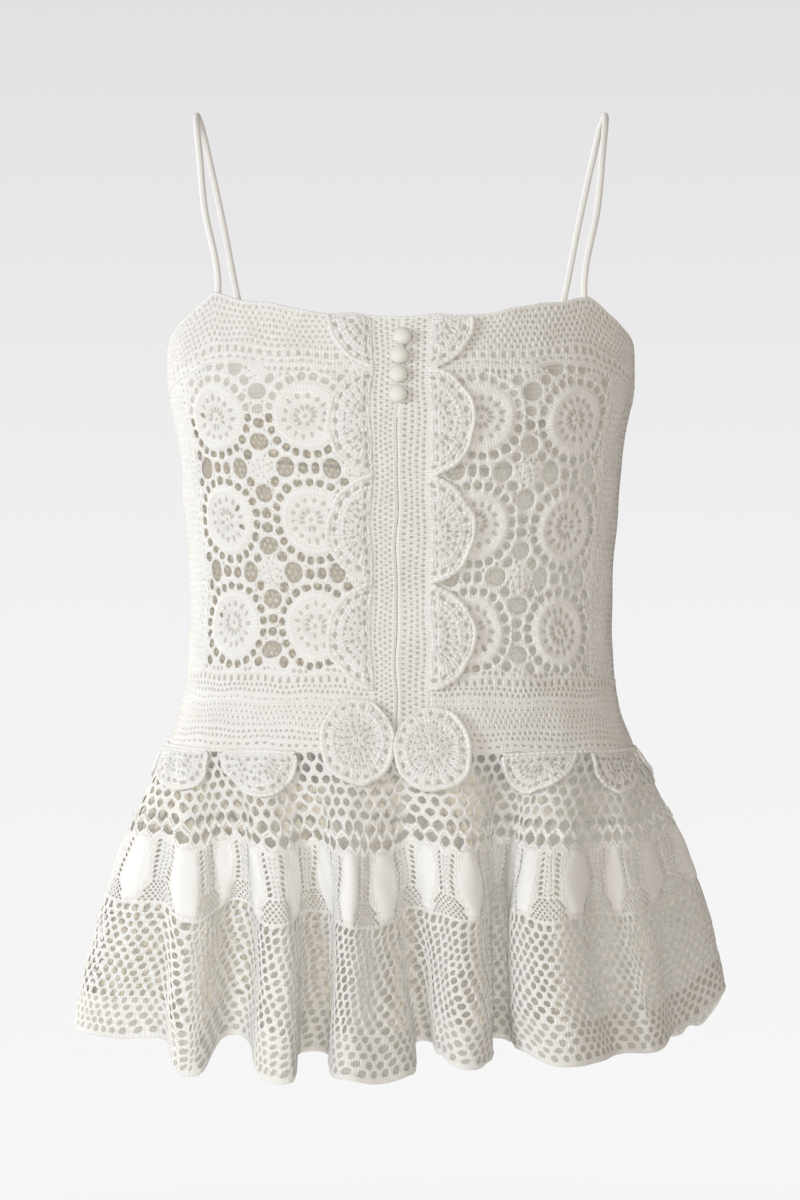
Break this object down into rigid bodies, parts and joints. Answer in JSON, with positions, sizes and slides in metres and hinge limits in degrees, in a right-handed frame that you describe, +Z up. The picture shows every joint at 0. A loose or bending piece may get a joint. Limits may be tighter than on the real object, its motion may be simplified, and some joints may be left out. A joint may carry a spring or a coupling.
{
  "type": "crochet camisole top",
  "caption": "Sleeveless crochet lace top with narrow shoulder straps, a centre placket and a flared peplum, worn on the upper body.",
  "frame": {"origin": "midway between the tops of the two shoulder straps, where the wearer's shoulders hold the garment", "axes": "+Z up the wearer, -Y to the wearer's front, +X to the right as seen from the front"},
  "size_m": [0.4187, 0.3263, 0.6117],
  "materials": {
    "cotton_crochet": "matt mercerised cotton yarn, crochet lace",
    "cotton_trim": "matt cotton yarn, corded edge",
    "rouleau_strap": "smooth rouleau tube",
    "covered_button": "smooth cloth stretched over a dome"
  },
  "bodies": {
    "root": {"yoke_front_left": "cotton_crochet", "yoke_front_right": "cotton_crochet", "yoke_back": "cotton_crochet", "bodice_front_left": "cotton_crochet", "bodice_front_right": "cotton_crochet", "bodice_back": "cotton_crochet", "placket_left": "cotton_crochet", "placket_right": "cotton_crochet", "waistband_front_left": "cotton_crochet", "waistband_front_right": "cotton_crochet", "waistband_back": "cotton_crochet", "peplum_front": "cotton_crochet", "peplum_back": "cotton_crochet", "scallop_trim_left": "cotton_trim", "scallop_trim_right": "cotton_trim", "scallop_edging_left": "cotton_trim", "scallop_edging_right": "cotton_trim", "rosette_left": "cotton_trim", "rosette_right": "cotton_trim", "strap_left": "rouleau_strap", "strap_right": "rouleau_strap", "button_1": "covered_button", "button_2": "covered_button", "button_3": "covered_button", "button_4": "covered_button"}
  },
  "joints": []
}
